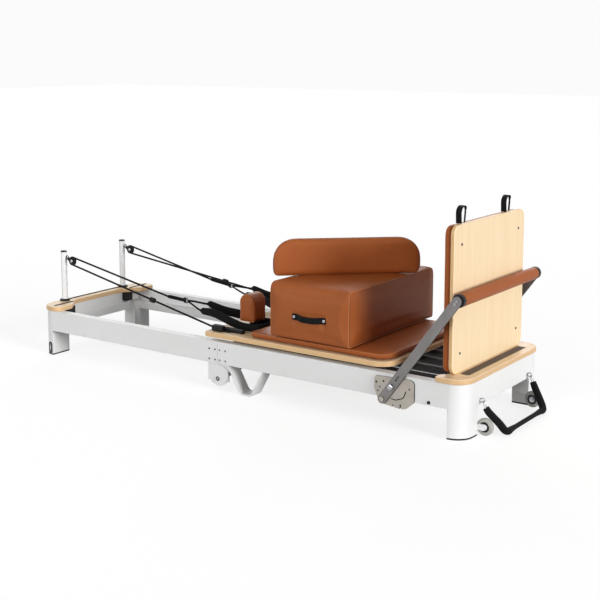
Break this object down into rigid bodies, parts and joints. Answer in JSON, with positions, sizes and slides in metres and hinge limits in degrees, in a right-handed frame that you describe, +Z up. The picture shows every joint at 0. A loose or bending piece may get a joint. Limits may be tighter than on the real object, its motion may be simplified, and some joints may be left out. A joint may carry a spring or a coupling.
{
  "type": "folding pilates reformer",
  "caption": "Folding exercise bed: a white frame hinged in the middle, a sprung leather carriage, footbar, jump board, sitting box, shoulder rests and pulley ropes.",
  "frame": {"origin": "on the floor, under the middle of the whole object", "axes": "+X along the frame to the foot end, +Y across it to the far side, +Z up"},
  "size_m": [2.3989, 0.7384, 0.8802],
  "materials": {
    "white_coat": "satin powder coat",
    "white_coat_head": "satin powder coat",
    "hinge_white": "satin powder coat",
    "post_white": "satin powder coat",
    "maple_foot": "clear satin lacquer",
    "maple_head": "clear satin lacquer",
    "maple_carriage": "clear satin lacquer",
    "maple_jump": "clear satin lacquer",
    "grip_strip": "matt",
    "steel_black": "satin black",
    "underframe_black": "satin black",
    "latch_black": "satin black",
    "block_black": "satin black",
    "spring_steel": "satin black",
    "bracket_steel": "brushed",
    "arm_grey": "satin grey",
    "knob_chrome": "polished",
    "eye_chrome": "polished",
    "leather_grip": "smooth",
    "leather_carriage": "smooth",
    "leather_box": "smooth",
    "leather_panel": "smooth",
    "leather_jump": "smooth",
    "leather_rest": "smooth",
    "sole_rubber": "matt",
    "tyre_grey": "matt",
    "roller_grey": "matt",
    "sheave_black": "matt",
    "base_black": "matt",
    "handle_black": "matt",
    "rope_black": "braided",
    "webbing_black": "woven",
    "padded_webbing": "padded"
  },
  "bodies": {
    "foot_frame": {"foot_frame_weldment": "white_coat", "foot_platform": "maple_foot", "platform_grip_strip": "grip_strip", "foot_sole_near": "sole_rubber", "foot_sole_far": "sole_rubber", "hinge_leaf_foot_near": "hinge_white", "hinge_leaf_foot_far": "hinge_white", "footbar_bracket_near": "bracket_steel", "footbar_bracket_far": "bracket_steel", "eye_bolt_near": "eye_chrome", "eye_bolt_far": "eye_chrome", "spring_1": "spring_steel", "spring_2": "spring_steel", "spring_3": "spring_steel", "spring_4": "spring_steel", "spring_5": "spring_steel"},
    "head_frame": {"head_frame_weldment": "white_coat_head", "head_board": "maple_head", "head_sole_near": "sole_rubber", "head_sole_far": "sole_rubber", "hinge_leaf_head_near": "hinge_white", "hinge_leaf_head_far": "hinge_white", "post_near": "post_white", "post_far": "post_white", "rope_near": "rope_black", "rope_far": "rope_black", "hand_strap_near": "webbing_black", "hand_strap_far": "webbing_black"},
    "carriage": {"carriage_board": "maple_carriage", "carriage_cushion": "leather_carriage", "carriage_underframe": "underframe_black", "shoulder_base_near": "base_black", "shoulder_base_far": "base_black"},
    "sitting_box": {"sitting_box": "leather_box", "box_handle": "handle_black"},
    "panel_cushion": {"panel_cushion": "leather_panel"},
    "jump_board": {"jump_board_panel": "maple_jump", "jump_board_pad": "leather_jump", "jump_board_loop_near": "webbing_black", "jump_board_loop_far": "webbing_black"},
    "footbar": {"footbar_arm_near": "arm_grey", "footbar_arm_far": "arm_grey", "footbar_tube": "steel_black", "footbar_sleeve": "leather_grip"},
    "fold_latch": {"fold_latch": "latch_black"},
    "pull_handle": {"pull_handle": "padded_webbing"},
    "lock_pin_near": {"lock_pin_near": "knob_chrome"},
    "transport_wheel_near": {"transport_wheel_near": "tyre_grey"},
    "pulley_block_near": {"pulley_block_near": "block_black"},
    "pulley_sheave_near": {"pulley_sheave_near": "sheave_black"},
    "shoulder_rest_near": {"shoulder_rest_near": "leather_rest"},
    "lock_pin_far": {"lock_pin_far": "knob_chrome"},
    "transport_wheel_far": {"transport_wheel_far": "tyre_grey"},
    "pulley_block_far": {"pulley_block_far": "block_black"},
    "pulley_sheave_far": {"pulley_sheave_far": "sheave_black"},
    "shoulder_rest_far": {"shoulder_rest_far": "leather_rest"},
    "carriage_wheel_1": {"carriage_wheel_1": "roller_grey"},
    "carriage_wheel_2": {"carriage_wheel_2": "roller_grey"},
    "carriage_wheel_3": {"carriage_wheel_3": "roller_grey"},
    "carriage_wheel_4": {"carriage_wheel_4": "roller_grey"}
  },
  "joints": [
    {"name": "carriage_slide", "type": "slide", "parent": "foot_frame", "child": "carriage", "axis": [-1, 0, 0], "range_m": [0, 0.85], "deforming": ["spring_1", "spring_2", "spring_3", "spring_4", "spring_5", "rope_near", "hand_strap_near", "rope_far", "hand_strap_far"]},
    {"name": "head_fold", "type": "hinge", "parent": "foot_frame", "child": "head_frame", "pos_m": [-0.09875, 0, 0.052], "axis": [0, -1, 0], "range_deg": [0, 180]},
    {"name": "footbar_swing", "type": "hinge", "parent": "foot_frame", "child": "footbar", "pos_m": [0.73825, 0, 0.113], "axis": [0, 1, 0], "range_deg": [0, 35]},
    {"name": "pull_handle_swing", "type": "hinge", "parent": "foot_frame", "child": "pull_handle", "pos_m": [1.10325, 0, 0.137], "axis": [0, -1, 0], "range_deg": [0, 110]},
    {"name": "fold_latch_turn", "type": "hinge", "parent": "foot_frame", "child": "fold_latch", "pos_m": [-0.01475, -0.24, 0.119], "axis": [0, 0, -1], "range_deg": [0, 35]},
    {"name": "jump_board_lift", "type": "slide", "parent": "foot_frame", "child": "jump_board", "axis": [0, 0, 1], "range_m": [0, 0.45]},
    {"name": "sitting_box_lift", "type": "slide", "parent": "carriage", "child": "sitting_box", "axis": [0, 0, 1], "range_m": [0, 0.3]},
    {"name": "panel_lift", "type": "slide", "parent": "sitting_box", "child": "panel_cushion", "axis": [0, 0, 1], "range_m": [0, 0.2]},
    {"name": "lock_pin_pull_near", "type": "slide", "parent": "footbar", "child": "lock_pin_near", "axis": [0, -1, 0], "range_m": [0, 0.012]},
    {"name": "shoulder_rest_lift_near", "type": "slide", "parent": "carriage", "child": "shoulder_rest_near", "axis": [0, 0, 1], "range_m": [0, 0.06]},
    {"name": "transport_wheel_spin_near", "type": "hinge", "parent": "foot_frame", "child": "transport_wheel_near", "pos_m": [1.11825, -0.2182, 0.036], "axis": [0, 1, 0], "continuous": true},
    {"name": "pulley_block_swing_near", "type": "hinge", "parent": "head_frame", "child": "pulley_block_near", "pos_m": [-1.14925, -0.203, 0.455], "axis": [0, 1, 0], "range_deg": [-20, 45]},
    {"name": "pulley_sheave_spin_near", "type": "hinge", "parent": "pulley_block_near", "child": "pulley_sheave_near", "pos_m": [-1.11402, -0.203, 0.44077], "axis": [0, 1, 0], "continuous": true},
    {"name": "lock_pin_pull_far", "type": "slide", "parent": "footbar", "child": "lock_pin_far", "axis": [0, 1, 0], "range_m": [0, 0.012]},
    {"name": "shoulder_rest_lift_far", "type": "slide", "parent": "carriage", "child": "shoulder_rest_far", "axis": [0, 0, 1], "range_m": [0, 0.06]},
    {"name": "transport_wheel_spin_far", "type": "hinge", "parent": "foot_frame", "child": "transport_wheel_far", "pos_m": [1.11825, 0.2182, 0.036], "axis": [0, 1, 0], "continuous": true},
    {"name": "pulley_block_swing_far", "type": "hinge", "parent": "head_frame", "child": "pulley_block_far", "pos_m": [-1.14925, 0.203, 0.455], "axis": [0, 1, 0], "range_deg": [-20, 45]},
    {"name": "pulley_sheave_spin_far", "type": "hinge", "parent": "pulley_block_far", "child": "pulley_sheave_far", "pos_m": [-1.11402, 0.203, 0.44077], "axis": [0, 1, 0], "continuous": true},
    {"name": "carriage_wheel_spin_1", "type": "hinge", "parent": "carriage", "child": "carriage_wheel_1", "pos_m": [0.64125, -0.2855, 0.1839], "axis": [0, 1, 0], "continuous": true},
    {"name": "carriage_wheel_spin_2", "type": "hinge", "parent": "carriage", "child": "carriage_wheel_2", "pos_m": [0.64125, 0.2855, 0.1839], "axis": [0, 1, 0], "continuous": true},
    {"name": "carriage_wheel_spin_3", "type": "hinge", "parent": "carriage", "child": "carriage_wheel_3", "pos_m": [-0.02875, -0.2855, 0.1839], "axis": [0, 1, 0], "continuous": true},
    {"name": "carriage_wheel_spin_4", "type": "hinge", "parent": "carriage", "child": "carriage_wheel_4", "pos_m": [-0.02875, 0.2855, 0.1839], "axis": [0, 1, 0], "continuous": true}
  ],
  "couplings": [
    {"joint": "carriage_wheel_spin_1", "follows": "carriage_slide", "rad_per_m": -42.553},
    {"joint": "carriage_wheel_spin_2", "follows": "carriage_slide", "rad_per_m": -42.553},
    {"joint": "carriage_wheel_spin_3", "follows": "carriage_slide", "rad_per_m": -42.553},
    {"joint": "carriage_wheel_spin_4", "follows": "carriage_slide", "rad_per_m": -42.553}
  ]
}
